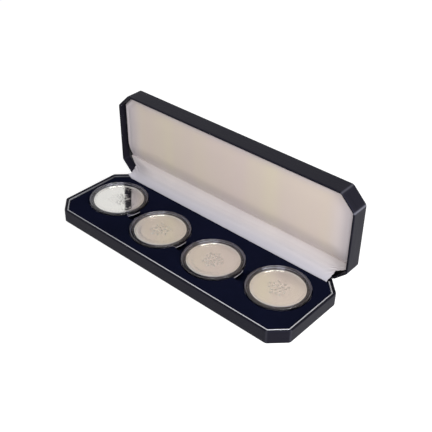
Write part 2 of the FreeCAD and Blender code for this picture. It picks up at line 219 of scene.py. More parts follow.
def surface(name, grids, material, marks=None, crease=35):
    """A piece made of grids of points in millimetres, each given with the directions in which it closes.

    Neighbouring points make quads, and a closed direction joins its last line to its first. The UV map holds
    mean distances along the grid's lines, in metres. Doubles at seams and poles are merged.
    """
    mesh = bpy.data.meshes.new(name)
    vertices, faces, lengths, count = [], [], [], 0
    for points, closed in grids:
        rows, columns = points.shape[:2]
        r, c = np.meshgrid(
            np.arange(rows - 1 + closed[0]), np.arange(columns - 1 + closed[1]), indexing="ij"
        )
        corner_r = np.stack([r, r, r + 1, r + 1], -1).reshape(-1, 4)
        corner_c = np.stack([c, c + 1, c + 1, c], -1).reshape(-1, 4)
        faces.append(count + corner_r % rows * columns + corner_c % columns)
        looped = np.pad(points, ((0, 1), (0, 1), (0, 0)), mode="wrap")
        along = np.linalg.norm(np.diff(looped, axis=1), axis=2)[:-1].mean(0)
        across = np.linalg.norm(np.diff(looped, axis=0), axis=2)[:, :-1].mean(1)
        u = np.concatenate([[0], np.cumsum(along)])[corner_c]
        v = np.concatenate([[0], np.cumsum(across)])[corner_r]
        lengths.append(np.stack([u, v], -1).reshape(-1, 2))
        vertices.append(points.reshape(-1, 3))
        count += rows * columns
    mesh.from_pydata(np.concatenate(vertices) * mm, [], np.concatenate(faces).tolist())
    mesh.uv_layers.new(name="girth").data.foreach_set("uv", np.concatenate(lengths).ravel() * mm)
    for mark, values in (marks or {}).items():
        flat = np.concatenate([np.ravel(v) for v in values]).astype(np.float32)
        mesh.attributes.new(mark, "FLOAT", "POINT").data.foreach_set("value", flat)
    shaped = bmesh.new()
    shaped.from_mesh(mesh)
    bmesh.ops.remove_doubles(shaped, verts=shaped.verts, dist=merge_gap * mm)
    bmesh.ops.recalc_face_normals(shaped, faces=shaped.faces)
    shaped.to_mesh(mesh)
    shaped.free()
    mesh.shade_smooth()
    mesh.set_sharp_from_angle(angle=np.radians(crease))
    mesh.materials.append(material)
    piece = bpy.data.objects.new(name, mesh)
    bpy.context.scene.collection.objects.link(piece)
    return piece


path, outward, bend, corner_of, at_slot, at_back = case_path()
lap_share = np.exp(-((bend / lap_width) ** 2))
rub_share = np.exp(-((bend / rub_width) ** 2))


def wrap(profiles, choice):
    """The leatherette's profile of (inset, height) carried round the case's path.

    Choice numbers the profile at each point of the path. The outside stands proud at each corner's lap by a
    bell curve of the distance from the corner.
    """
    profile = np.stack(profiles, 1)[:, choice]
    inset, height = profile[..., 0], profile[..., 1]
    proud = lap_height * lap_share * (inset < covering_thickness / 2)
    flat = path - (inset - proud)[..., None] * outward
    return np.concatenate([flat, height[..., None]], -1)


def wall_profile(face, rim, margin, face_edge):
    """A loop of (inset, height) round the sheet: from a tray's face, along its wall and over its rim.

    It goes on down inside by a margin and comes back on the sheet's other side. The base's face lies below
    its rim, and the lid's above.
    """
    rise = np.sign(rim - face) * covering_thickness
    fall = np.sign(rim - face) * margin
    inner = wall_thickness - covering_thickness
    corners = [
        (turn_under, face, face_edge),
        (0, face, outer_edge),
        (0, rim, rim_edge),
        (wall_thickness, rim, rim_edge),
        (wall_thickness, rim - rise - fall, cut_edge),
        (inner, rim - rise - fall, cut_edge),
        (inner, rim - rise, 0),
        (covering_thickness, rim - rise, 0),
        (covering_thickness, face + rise, outer_edge / 2),
        (turn_under, face + rise, 0),
    ]
    return rounded(corners)


base_profiles = [
    wall_profile(base_floor, base_rim, base_turn_in, cut_edge),
    wall_profile(base_floor, base_rim, 2 * cut_edge, cut_edge),
    wall_profile(base_floor, leaf_high[2] - slot_depth, 2 * cut_edge, cut_edge),
]
base_wrap = wrap(base_profiles, np.where(at_slot, 2, np.where(at_back, 1, 0)))

# Leatherette: embossed paper with a soft coat, navy so deep that it reads as black. The coat gives a broad
# dull sheen, the embossing a pebble grain, and stretching round the wall fine streaks along it. The grain is
# drawn at about twice its real width so that it shows.
pebble = 1.3 * mm
streak_width = 0.9 * mm
streak_length = 40 * mm
coat_patch = 25 * mm
grain_share = 0.6
streak_share = 0.6
leatherette = blank_material("leatherette_embossed_navy")
place = add_node(leatherette, "ShaderNodeTexCoord", "Object")
girth = add_node(leatherette, "ShaderNodeUVMap", "UV", uv_map="girth")
grain = add_node(
    leatherette,
    "ShaderNodeTexVoronoi",
    "Distance",
    {"Vector": place, "Scale": 1 / pebble, "Randomness": 0.9},
    feature="SMOOTH_F1",
)
stretched = add_node(
    leatherette,
    "ShaderNodeMapping",
    "Vector",
    {"Vector": girth, "Scale": (1 / streak_length, 1 / streak_width, 1)},
)
streaks = add_node(
    leatherette, "ShaderNodeTexNoise", "Fac", {"Vector": stretched, "Scale": 1, "Detail": 3}
)
cloud = add_node(
    leatherette, "ShaderNodeTexNoise", "Fac", {"Vector": place, "Scale": 1 / coat_patch, "Detail": 3}
)
relief = add_node(
    leatherette,
    "ShaderNodeMath",
    "Value",
    {0: grain, 1: grain_share, 2: streaks},
    operation="MULTIPLY_ADD",
)
patchy = add_node(
    leatherette,
    "ShaderNodeMix",
    "Result",
    {"Factor": streak_share, "A": cloud, "B": streaks},
    data_type="FLOAT",
)
bump = add_node(
    leatherette,
    "ShaderNodeBump",
    "Normal",
    {"Height": relief, "Strength": 0.5, "Distance": 0.12 * mm},
)
rubbed = add_node(leatherette, "ShaderNodeAttribute", "Fac", attribute_name="rub")
tone = add_node(
    leatherette,
    "ShaderNodeMix",
    "Result",
    {"Factor": streaks, "A": linear("#05050b"), "B": linear("#18161d")},
    data_type="RGBA",
)
worn = add_node(
    leatherette,
    "ShaderNodeMix",
    "Result",
    {"Factor": rubbed, "A": tone, "B": linear("#74747f")},
    data_type="RGBA",
)
gloss = add_node(
    leatherette, "ShaderNodeMapRange", "Result", {"Value": patchy, "To Min": 0.3, "To Max": 0.66}
)
shader = add_node(
    leatherette,
    "ShaderNodeBsdfPrincipled",
    "BSDF",
    {
        "Base Color": worn,
        "Roughness": gloss,
        "Normal": bump,
        "Specular IOR Level": 0.21,
        "Specular Tint": linear("#bdc0ec"),
    },
)
add_node(leatherette, "ShaderNodeOutputMaterial", inputs={"Surface": shader})

outside = base_wrap[..., 2] > base_floor + outer_edge / 2
base_covering = surface(
    "leatherette_base",
    [(base_wrap, (True, True))],
    leatherette,
    {"rub": [rub_share * base_wear_shares[corner_of] * outside]},
)
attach(base_covering, "base")
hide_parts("base_covering")

# Bottom sheet: a flat piece of the same leatherette, on which the case stands.
# It is glued on last, so that it hides the turned-under margin.
dress(leatherette, "base_bottom_sheet")

# Cards: grey board cut to the outline, one glued in the base under the insert and one behind the padding.
# Pressed from waste paper, so they are flecked with fibres.
fibre = 1.5 * mm
grey_board = blank_material("grey_board_pressed")
place = add_node(grey_board, "ShaderNodeTexCoord", "Object")
fleck = add_node(
    grey_board, "ShaderNodeTexNoise", "Fac", {"Vector": place, "Scale": 1 / fibre, "Detail": 5}
)
tone = add_node(
    grey_board,
    "ShaderNodeMix",
    "Result",
    {"Factor": fleck, "A": linear("#75736d"), "B": linear("#a5a298")},
    data_type="RGBA",
)
shader = add_node(
    grey_board, "ShaderNodeBsdfPrincipled", "BSDF", {"Base Color": tone, "Roughness": 0.9}
)
add_node(grey_board, "ShaderNodeOutputMaterial", inputs={"Surface": shader})
dress(grey_board, "base_card", "lid_card")

# Rim trim: a bright strip that stands on edge inside the wall, bent at the cut corners and open at the hinge.
# Drawn aluminium, brightened and anodised, with a slightly uneven lustre.
# Its colour is darkened towards the back left: painted shade.
lustre_grain = 0.8 * mm
# Middle and reach of the painted shade that darkens the trim at the back left
trim_shade_middle = np.array([-105, 33, 10]) * mm
trim_shade_reach = 120 * mm
aluminium = blank_material("aluminium_bright_anodised")
place = add_node(aluminium, "ShaderNodeTexCoord", "Object")
lustre = add_node(
    aluminium, "ShaderNodeTexNoise", "Fac", {"Vector": place, "Scale": 1 / lustre_grain, "Detail": 2}
)
gloss = add_node(
    aluminium, "ShaderNodeMapRange", "Result", {"Value": lustre, "To Min": 0.45, "To Max": 0.6}
)
from_trim_shade = add_node(
    aluminium,
    "ShaderNodeMapping",
    "Vector",
    {"Vector": place, "Location": -trim_shade_middle / trim_shade_reach, "Scale": [1 / trim_shade_reach] * 3},
)
trim_shade = add_node(
    aluminium, "ShaderNodeTexGradient", "Fac", {"Vector": from_trim_shade}, gradient_type="SPHERICAL"
)
# Darker towards the back left: painted shade
tone = add_node(
    aluminium,
    "ShaderNodeMix",
    "Result",
    {"Factor": trim_shade, "A": linear("#e6e8ee"), "B": linear("#4c4d55")},
    data_type="RGBA",
)
shader = add_node(
    aluminium,
    "ShaderNodeBsdfPrincipled",
    "BSDF",
    {"Base Color": tone, "Metallic": 1.0, "Roughness": gloss},
)
add_node(aluminium, "ShaderNodeOutputMaterial", inputs={"Surface": shader})
dress(aluminium, "rim_trim")

# Coin insert: a thermoformed tray with a well for each capsule and finger notches between them.
# Flocked in midnight navy: short upright fibres that swallow light and brush into darker and lighter patches.
# Their tufts are drawn a few times as wide as they are so that they show.
pile = 0.7 * mm
brushed = 18 * mm
velvet = blank_material("velvet_flocked_navy")
place = add_node(velvet, "ShaderNodeTexCoord", "Object")
nap = add_node(velvet, "ShaderNodeTexNoise", "Fac", {"Vector": place, "Scale": 1 / brushed, "Detail": 4})
tuft = add_node(velvet, "ShaderNodeTexNoise", "Fac", {"Vector": place, "Scale": 1 / pile, "Detail": 2})
tone = add_node(
    velvet,
    "ShaderNodeMix",
    "Result",
    {"Factor": nap, "A": linear("#090c1a"), "B": linear("#0f1226")},
    data_type="RGBA",
)
bump = add_node(
    velvet, "ShaderNodeBump", "Normal", {"Height": tuft, "Strength": 0.6, "Distance": 0.15 * mm}
)
shader = add_node(
    velvet,
    "ShaderNodeBsdfPrincipled",
    "BSDF",
    {
        "Base Color": tone,
        "Roughness": 1.0,
        "Specular IOR Level": 0.02,
        "Normal": bump,
        "Sheen Weight": 0.04,
        "Sheen Roughness": 0.5,
        "Sheen Tint": linear("#3a3f66"),
    },
)
add_node(velvet, "ShaderNodeOutputMaterial", inputs={"Surface": shader})
dress(velvet, "coin_insert")

# Hinges: two pressed steel leaves each, on a pin, with a strip spring that snaps the lid open or shut.
# Nickel-plated after pressing, and riveted through the back walls under the satin.
plating_patch = 4 * mm
nickel = blank_material("steel_nickel_plated")
place = add_node(nickel, "ShaderNodeTexCoord", "Object")
haze = add_node(
    nickel, "ShaderNodeTexNoise", "Fac", {"Vector": place, "Scale": 1 / plating_patch, "Detail": 4}
)
gloss = add_node(nickel, "ShaderNodeMapRange", "Result", {"Value": haze, "To Min": 0.2, "To Max": 0.42})
shader = add_node(
    nickel,
    "ShaderNodeBsdfPrincipled",
    "BSDF",
    {"Base Color": linear("#c9c5bd"), "Metallic": 1.0, "Roughness": gloss},
)
add_node(nickel, "ShaderNodeOutputMaterial", inputs={"Surface": shader})
for hinge_part in ("base_leaf", "lid_leaf", "pin", "spring"):
    dress(nickel, f"hinge_{hinge_part}_left", f"hinge_{hinge_part}_right")
dress(nickel, "hinge_base_rivets", "hinge_lid_rivets")

# Lid covering: one leatherette sheet over the lid's top and walls, folded in over the rim and down inside.
# It is worked out on the closed lid and then turned open about the hinge, with its back wall cut back so that
# it goes down behind the base.
rim_gap = 0.2
lid_height = 14.1
lid_turn_in = 6.0
lid_back_relief = 1.1
relief_reach = 1.85
lid_wear_shares = np.array([0.15, 0.05, 0.05, 0.05, 0.06, 0.1, 0.3, 0.7])
lid_rim = base_rim + rim_gap
lid_top = lid_rim + lid_height
hinge = next(joint for joint in frame["joints"] if joint["name"] == "lid_hinge")
hinge_place = np.array(hinge["pos_m"]) / mm
open_angle = np.radians(-hinge["range_deg"][0])


def open_lid(points):
    """Turns points of the closed lid about the hinge to where they stand with the lid open."""
    y, z = points[..., 1] - hinge_place[1], points[..., 2] - hinge_place[2]
    turned_y = hinge_place[1] + y * np.cos(open_angle) + z * np.sin(open_angle)
    turned_z = hinge_place[2] - y * np.sin(open_angle) + z * np.cos(open_angle)
    return np.stack([points[..., 0], turned_y, turned_z], -1)


def panel(edge, rows=8):
    """A flat panel inside a ring of points: its rows shrink across the case until they meet in the middle."""
    share = np.linspace(1, 0, rows)[:, None]
    return np.stack([edge[:, 0] + 0 * share, edge[:, 1] * share, edge[:, 2] + 0 * share], -1)


lid_profiles = [
    wall_profile(lid_top, lid_rim, lid_turn_in, 0),
    wall_profile(lid_top, lid_rim + lid_back_relief, lid_turn_in - lid_back_relief, 0),
    wall_profile(lid_top, lid_rim + lid_back_relief, 2 * cut_edge, 0),
]
cut_back = path[:, 1] > case_width / 2 - relief_reach
lid_wrap = wrap(lid_profiles, np.where(at_back, 2, np.where(cut_back, 1, 0)))
lid_grids = [lid_wrap, panel(lid_wrap[0]), panel(lid_wrap[-1])]
lid_rub = rub_share * lid_wear_shares[corner_of] * (lid_wrap[..., 2] < lid_top - outer_edge / 2)
lid_covering = surface(
    "leatherette_lid",
    [(open_lid(grid), (False, True)) for grid in lid_grids],
    leatherette,
    {"rub": [lid_rub] + [np.zeros(grid.shape[:2]) for grid in lid_grids[1:]]},
)
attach(lid_covering, "lid")
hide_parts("lid_covering")

# Lid pad: foam glued to the lid's card, covered in satin that is drawn over it and tucked in at the walls.
# It swells towards its middle, with a rolled edge, a soft valley beside that and a deeper fall to its foot.
pad_inset = 1.75
pad_face_depth = 3.8
pad_crown = 0.9
pad_crown_width = 16.0
pad_roll = 1.6
pad_roll_width = 2.6
valley_depth = 0.2
valley_place = 4.2
valley_width = 1.4
foot_fall = 4.5
foot_width = 16.0
card_depth = 11.15
# Reach and share of the pad's painted light in a cooler tone, by its walls and at its foot
painted_cool_side = 24.0
painted_cool_front = 9.0
painted_cool_foot = 17.0
painted_cool_share = 0.9
painted_cool_foot_share = 0.35
corner_lean = 2 - np.sqrt(2)
pad_x = case_length / 2 - pad_inset
pad_y = case_width / 2 - pad_inset
pad_leg = corner_cut - pad_inset * corner_lean
pad_foot = case_width / 2 - corner_cut - pad_inset * (1 - corner_lean)


def crowded(count):
    """Shares from -1 to 1 that crowd towards both ends, as the sine of evenly spaced angles."""
    return np.sin(np.linspace(-np.pi / 2, np.pi / 2, count))


def pad_outline(rows=72, columns=200):
    """The pad's face on the closed lid: rows from the front to the foot, narrowed at the cut corners."""
    y = (pad_foot - pad_y) / 2 + (pad_foot + pad_y) / 2 * crowded(rows)
    half = pad_x - np.maximum(0, pad_leg - (y + pad_y))
    return half[:, None] * crowded(columns), np.repeat(y[:, None], columns, 1)


def smooth_step(share):
    """Rises from 0 to 1 with level ends, as three squares of the share less two cubes."""
    share = np.clip(share, 0, 1)
    return share**2 * (3 - 2 * share)


def pad_depth(x, y):
    """Depth of the pad's face behind the lid's rim, from its distances to the walls and to its foot.

    The face falls away from its crown towards every edge, dips in a valley beside the walls and rolls over at
    them. Towards the foot it falls ever more steeply and doesn't roll.
    """
    side = pad_x - np.abs(x)
    front = pad_y + y
    cut = (side + front - pad_leg) / np.sqrt(2)
    foot = pad_foot - y
    wall = np.minimum(np.minimum(side, front), np.maximum(cut, 0))
    edge = np.maximum(np.minimum(wall, foot), 0)
    depth = pad_face_depth + pad_crown * (1 - smooth_step(edge / pad_crown_width))
    depth += valley_depth * np.exp(-(((wall - valley_place) / valley_width) ** 2))
    depth += foot_fall * np.maximum(0, 1 - foot / foot_width) ** 2
    return depth + pad_roll * np.maximum(0, 1 - np.maximum(wall, 0) / pad_roll_width) ** 3


def pad_painted_cool(x, y):
    """Share of the cooler tone: most at the walls, less at the foot, and none further in.

    The cooler tone is painted light.
    """
    side = (pad_x - np.abs(x)) / painted_cool_side
    front = (pad_y + y) / painted_cool_front
    by_wall = painted_cool_share * (1 - smooth_step(np.minimum(side, front)))
    by_foot = painted_cool_foot_share * (1 - smooth_step((pad_foot - y) / painted_cool_foot))
    return np.maximum(by_wall, by_foot)


pad_face_x, pad_face_y = pad_outline()
pad_front = np.stack([pad_face_x, pad_face_y, lid_rim + pad_depth(pad_face_x, pad_face_y)], -1)
pad_back = np.stack([pad_face_x, pad_face_y, np.full_like(pad_face_x, lid_rim + card_depth)], -1)
pad_sides = [
    np.stack([pad_front[index], pad_back[index]]) for index in (0, -1, (slice(None), 0), (slice(None), -1))
]

# Satin: a bright filament weave whose long floats give a soft sheen, with faint ribs and drifting tones.
# The ribs are drawn many threads wide so that they show. A wave texture repeats ten times in pi units.
rib_width = 5.0265 * mm
rib_units = np.pi / 10
tone_patch = 24 * mm
tone_stretch = 0.08


def satin_material(name, light, shade, edge):
    """Satin between two tones that change along the case in broad upright bands, ribbed by its weave.

    An attribute of the piece mixes in a third, cooler tone: painted light where the cloth turns away to the
    white surroundings.
    """
    satin = blank_material(name)
    girth = add_node(satin, "ShaderNodeUVMap", "UV", uv_map="girth")
    place = add_node(satin, "ShaderNodeTexCoord", "Object")
    banded = add_node(
        satin, "ShaderNodeMapping", "Vector", {"Vector": place, "Scale": (1, tone_stretch, tone_stretch)}
    )
    bands = add_node(
        satin, "ShaderNodeTexNoise", "Fac", {"Vector": banded, "Scale": 1 / tone_patch, "Detail": 1}
    )
    drift = add_node(
        satin, "ShaderNodeMapRange", "Result", {"Value": bands, "From Min": 0.25, "From Max": 0.75}
    )
    weave = add_node(
        satin,
        "ShaderNodeTexWave",
        "Fac",
        {
            "Vector": girth,
            "Scale": rib_units / rib_width,
            "Distortion": 1.5,
            "Detail": 2,
            "Detail Scale": 2,
        },
    )
    tone = add_node(
        satin,
        "ShaderNodeMix",
        "Result",
        {"Factor": drift, "A": linear(shade), "B": linear(light)},
        data_type="RGBA",
    )
    # The third tone, edge, is painted light in a cooler tone
    painted_cool_light = add_node(satin, "ShaderNodeAttribute", "Fac", attribute_name="painted_cool_light")
    tone = add_node(
        satin, "ShaderNodeMix", "Result", {"Factor": painted_cool_light, "A": tone, "B": linear(edge)}, data_type="RGBA"
    )
    bump = add_node(
        satin, "ShaderNodeBump", "Normal", {"Height": weave, "Strength": 0.12, "Distance": 0.05 * mm}
    )
    shader = add_node(
        satin,
        "ShaderNodeBsdfPrincipled",
        "BSDF",
        {
            "Base Color": tone,
            "Roughness": 0.55,
            "Specular IOR Level": 0.35,
            "Normal": bump,
            "Sheen Weight": 0.15,
            "Sheen Roughness": 0.4,
        },
    )
    add_node(satin, "ShaderNodeOutputMaterial", inputs={"Surface": shader})
    return satin


# Its last tone is the cooler painted light at the pad's walls and foot
pad_satin = satin_material("satin_woven_warm_white", "#d8ccb9", "#d4c3bf", "#d2cad0")
pad_grids = [pad_front, pad_back, *pad_sides]
lid_pad = surface(
    "satin_lid_pad",
    [(open_lid(grid), (False, False)) for grid in pad_grids],
    pad_satin,
    {"painted_cool_light": [pad_painted_cool(grid[..., 0], grid[..., 1]) for grid in pad_grids]},
    crease=60,
)
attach(lid_pad, "lid")
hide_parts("lid_pad")

# Hinge cloth: a strip of cooler satin that hides the hinges, glued behind the pad's foot and the insert.
# It is cut with slack, so that it bulges while the lid is open, and narrower at the base. A few creases run
# in from its ends, and its left end has slumped.
cloth_thickness = 0.5
cloth_clearance = 0.05
cloth_depth = 8.2
cloth_bulge = 1.5
cloth_top_reach = 0.3
cloth_bulge_reach = 7.0
cloth_tuck_reach = 0.8
cloth_tuck = 3.0
cloth_end = 95.7
cloth_spread = 0.34
cloth_flare = 6.5
flare_start = 16.5
flare_rise = 4.0
cloth_edge_gap = 0.6
slump_shelf = 5.1
slump_depth = 6.5
slump_front = 0.8
slump_rise = 1.9
slump_bend = 2.2
slump_run = 12.0
hem_extra = 3.7
hem_lift = 1.6
hem_run = 4.0
hem_fade = 1.8
crease_depth = 0.3
crease_pitch = 3.4
crease_reach = 6.0
crease_slant = 0.7
fold_depth = 0.22
fold_pitch = 5.2
fold_sway = 1.2
fold_run = 31.0
insert_high = box_mm("coin_insert")[1]


def lid_line(y, depth):
    """Place across the open case of a point on the closed lid at y, a depth behind its rim."""
    return open_lid(np.array([0, y, lid_rim + depth]))[1:]


cloth_top = pad_foot + cloth_clearance + cloth_thickness / 2
cloth_hem = np.array([insert_high[1] + cloth_clearance + cloth_thickness / 2, insert_high[2]])
cloth_foot = lid_line(cloth_top, cloth_depth)
cloth_rise = (cloth_foot - cloth_hem) / np.linalg.norm(cloth_foot - cloth_hem)
cloth_proud = np.array([-cloth_rise[1], cloth_rise[0]])
cloth_middle = (cloth_foot + cloth_hem) / 2 + cloth_bulge * cloth_proud
cloth_corners = [
    (*lid_line(cloth_top, card_depth), 0),
    (*cloth_foot, cloth_top_reach),
    (*cloth_middle, cloth_bulge_reach),
    (*cloth_hem, cloth_tuck_reach),
    (*(cloth_hem - [0, cloth_tuck]), 0),
]
slump_corners = [
    *cloth_corners[:2],
    (*lid_line(case_width / 2 - slump_shelf, slump_depth), slump_bend),
    (case_width / 2 - slump_front, base_rim + slump_rise, slump_bend),
    *cloth_corners[3:],
]


def even_line(corners, rows):
    """A rounded profile as evenly spaced points, with its length."""
    line = rounded(corners, steps=24, flat=1)[1:-1]
    way = np.concatenate([[0], np.cumsum(np.linalg.norm(np.diff(line, axis=0), axis=1))])
    even = np.linspace(0, way[-1], rows)
    return np.stack([np.interp(even, way, line[:, i]) for i in (0, 1)], -1), way[-1]


def wall_half(height):
    """Half the width between the inner faces of the lid's cut walls at a height, less a gap.

    Those walls stand at 45 degrees, so it grows as much as the distance from the lid's back does.
    """
    back_way = case_width / 2 - hinge_place[1] + (height - hinge_place[2]) / np.sin(open_angle)
    inner = case_length / 2 - corner_cut + back_way - np.sqrt(2) * wall_thickness
    return np.clip(inner - cloth_edge_gap, cloth_end, pad_x - cloth_clearance)


def cloth_sheet(rows=72, columns=201):
    """The strip as a grid: its rounded line across the case, spaced evenly, carried along the case.

    At the left it sinks to a lower line by a bell curve, follows the lid's cut wall, and its hem lifts on to
    the rim. At the right it stops short of that wall, grows with height and flares out to it. Creases are a
    cosine along the line, which runs aslant and dies away from each end as a bell curve. Shallow folds run
    lengthwise, a cosine along the line too, and sway with a sine. Also returned are the share of the cooler
    tone, which is painted light growing towards the hem, and the line's length.
    """
    line, length = even_line(cloth_corners, rows)
    slump = even_line(slump_corners, rows)[0]
    even = np.linspace(0, length, rows)
    height = line[:, 1]
    right = cloth_end + cloth_spread * np.maximum(0, height - cloth_hem[1])
    right += cloth_flare * smooth_step((height - flare_start) / flare_rise)
    at_hem = np.exp(-(((slump[:, 1] - cloth_hem[1]) / hem_fade) ** 2)) * (slump[:, 1] >= cloth_hem[1])
    left = wall_half(slump[:, 1]) + hem_extra * at_hem
    share = crowded(columns)
    half = np.where(share > 0, np.minimum(right, wall_half(height))[:, None], left[:, None])
    x = half * share
    from_end = half - np.abs(x)
    sunk = (share < 0) * np.exp(-((from_end / slump_run) ** 2))
    lift = hem_lift * at_hem[:, None] * (share < 0) * np.exp(-((from_end / hem_run) ** 2))
    phase = 2 * np.pi * (even[:, None] - crease_slant * from_end) / crease_pitch
    free = np.sin(np.pi * smooth_step(even / (length - cloth_tuck)))[:, None]
    crease = crease_depth * free * np.exp(-((from_end / crease_reach) ** 2)) * np.cos(phase)
    sway = fold_sway * np.sin(x / fold_run)
    crease = crease + fold_depth * free * np.cos(2 * np.pi * (even[:, None] + sway) / fold_pitch)
    across = line[:, None] + sunk[..., None] * (slump - line)[:, None] + crease[..., None] * cloth_proud
    across = across + lift[..., None] * [0, 1]
    # Painted light in the cooler tone, growing from the pad's foot towards the hem
    painted_cool_light = smooth_step((cloth_foot[1] - across[..., 1]) / (cloth_foot[1] - cloth_hem[1]))
    return np.concatenate([x[..., None], across], -1), painted_cool_light, length


cloth_points, cloth_painted_cool, cloth_length = cloth_sheet()
# Its last tone is the cooler painted light towards the hem
cloth_satin = satin_material("satin_woven_cool_white", "#cdc5c4", "#c6bebf", "#b9b7c0")
hinge_cloth = surface(
    "satin_hinge_cloth", [(cloth_points, (False, False))], cloth_satin, {"painted_cool_light": [cloth_painted_cool]}, crease=60
)
thicken = hinge_cloth.modifiers.new("thickness", "SOLIDIFY")
thicken.thickness = cloth_thickness * mm
thicken.offset = 0
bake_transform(hinge_cloth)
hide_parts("hinge_cloth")

# Capsules: two-part boxes for one coin each, moulded in clear polystyrene and polished in the mould.
# The bottom has a ring that centres the coin. The top plugs in round that ring, and its rim stands proud.
capsule_floor = 1.7
capsule_ceiling = 4.9
capsule_height = 6.4
capsule_split = 3.3
capsule_radius = 22.6
ring_inner, ring_outer, ring_top = 19.5, 20.3, 3.5
plug_inner, plug_outer, plug_low = 20.57, 21.32, 1.9
plug_play = 0.08
split_gap = 0.1
root_round = 0.1
split_round = 0.12
ring_round = 0.15
foot_round = 0.3
crown_round = 0.35
lip_width = 1.9
lip_height = 0.25
wall_blend = 0.5
seam_edge = 0.05
capsule_columns = 192


def turned(profile, columns):
    """A profile of (radius, height) points carried round an upright axis."""
    angle = np.linspace(0, 2 * np.pi, columns, endpoint=False)
    radius, height = np.array(profile).T[..., None]
    return np.stack([radius * np.cos(angle), radius * np.sin(angle), height + 0 * angle], -1)


bottom_corners = [
    (0, 0, 0),
    (ring_inner, 0, root_round),
    (capsule_radius, 0, foot_round),
    (capsule_radius, capsule_split, split_round),
    (plug_outer + plug_play, capsule_split, split_round),
    (plug_outer + plug_play, capsule_floor, root_round),
    (ring_outer, capsule_floor, root_round),
    (ring_outer, ring_top, ring_round),
    (ring_inner, ring_top, ring_round),
    (ring_inner, capsule_floor, root_round),
    (0, capsule_floor, 0),
]
bottom_profile = rounded(bottom_corners)
top_corners = [
    (0, capsule_ceiling, 0),
    (ring_inner, capsule_ceiling, root_round),
    (plug_inner, capsule_ceiling, ring_round),
    (plug_inner, plug_low, split_round),
    (plug_outer, plug_low, split_round),
    (plug_outer, capsule_split + split_gap, root_round),
    (capsule_radius, capsule_split + split_gap, split_round),
    (capsule_radius, capsule_height, crown_round),
    (capsule_radius - lip_width, capsule_height, ring_round),
    (capsule_radius - lip_width - lip_height, capsule_height - lip_height, ring_round),
    (ring_inner, capsule_height - lip_height, root_round),
    (0, capsule_height - lip_height, 0),
]
top_profile = rounded(top_corners)


def painted_wall_shade(profile):
    """1 on the capsule's walls and 0 over the coin, with a short change between: a row per profile point.

    It places the painted grey shade of the walls.
    """
    radius = profile[:, :1] + np.zeros(capsule_columns)
    return smooth_step((radius - ring_inner) / wall_blend)


# Clear polystyrene: glossy and colourless over the coin, a little hazed by handling. The walls, seen edge on
# through more of the plastic, are tinted grey as painted shade.
haze_patch = 6 * mm
clear = blank_material("polystyrene_clear_polished")
place = add_node(clear, "ShaderNodeTexCoord", "Object")
haze = add_node(clear, "ShaderNodeTexNoise", "Fac", {"Vector": place, "Scale": 1 / haze_patch, "Detail": 3})
gloss = add_node(clear, "ShaderNodeMapRange", "Result", {"Value": haze, "To Min": 0.0, "To Max": 0.06})
walls = add_node(clear, "ShaderNodeAttribute", "Fac", attribute_name="wall")
# Grey on the walls: painted shade
tint = add_node(
    clear,
    "ShaderNodeMix",
    "Result",
    {"Factor": walls, "A": linear("#ffffff"), "B": linear("#a1a0ac")},
    data_type="RGBA",
)
shader = add_node(
    clear,
    "ShaderNodeBsdfPrincipled",
    "BSDF",
    {
        "Base Color": tint,
        "Roughness": gloss,
        "IOR": 1.59,
        "Transmission Weight": 1.0,
    },
)
add_node(clear, "ShaderNodeOutputMaterial", inputs={"Surface": shader})

# Matt polystyrene: the top of the bottom's wall, where the halves meet, made matt and pale as a painted
# highlight. It scatters light and shows through the top's rim as a pale line round the coin.
highlight_plastic = blank_material("polystyrene_painted_highlight")
place = add_node(highlight_plastic, "ShaderNodeTexCoord", "Object")
haze = add_node(
    highlight_plastic, "ShaderNodeTexNoise", "Fac", {"Vector": place, "Scale": 1 / haze_patch, "Detail": 3}
)
gloss = add_node(
    highlight_plastic, "ShaderNodeMapRange", "Result", {"Value": haze, "To Min": 0.45, "To Max": 0.65}
)
# Pale and matt: a painted highlight
shader = add_node(
    highlight_plastic,
    "ShaderNodeBsdfPrincipled",
    "BSDF",
    {"Base Color": linear("#e4e4ea"), "Roughness": gloss, "IOR": 1.59, "Transmission Weight": 0.2},
)
add_node(highlight_plastic, "ShaderNodeOutputMaterial", inputs={"Surface": shader})


def paint_seam_highlight(piece, seat):
    """Makes the top of a capsule bottom's outer wall matt: the highest faces outside the plug.

    The pale matt band is a painted highlight.
    """
    faces = piece.data.polygons
    centres = np.empty(3 * len(faces), np.float32)
    faces.foreach_get("center", centres)
    x, y, z = centres.reshape(-1, 3).T / mm - seat[:, None]
    on_wall = (np.hypot(x, y) > plug_outer) & (z > capsule_split - seam_edge)
    piece.data.materials.append(highlight_plastic)
    faces.foreach_set("material_index", on_wall.astype(np.int32))


def capsule_seat(number):
    """The middle of a capsule's underside, where it stands in its well."""
    low, high = box_mm(f"capsule_bottom_{number}")
    return np.array([*(low + high)[:2] / 2, low[2]])


capsule_numbers = (1, 2, 3, 4)
for number in capsule_numbers:
    seat = capsule_seat(number)
    bottom = surface(
        f"capsule_clear_bottom_{number}",
        [(seat + turned(bottom_profile, capsule_columns), (False, True))],
        clear,
        {"wall": [painted_wall_shade(bottom_profile)]},
    )
    paint_seam_highlight(bottom, seat)
    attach(bottom, f"capsule_{number}")
    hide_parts(f"capsule_bottom_{number}")
    top = surface(
        f"capsule_clear_top_{number}",
        [(seat + turned(top_profile, capsule_columns), (False, True))],
        clear,
        {"wall": [painted_wall_shade(top_profile)]},
    )
    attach(top, f"capsule_cover_{number}")
    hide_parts(f"capsule_top_{number}")

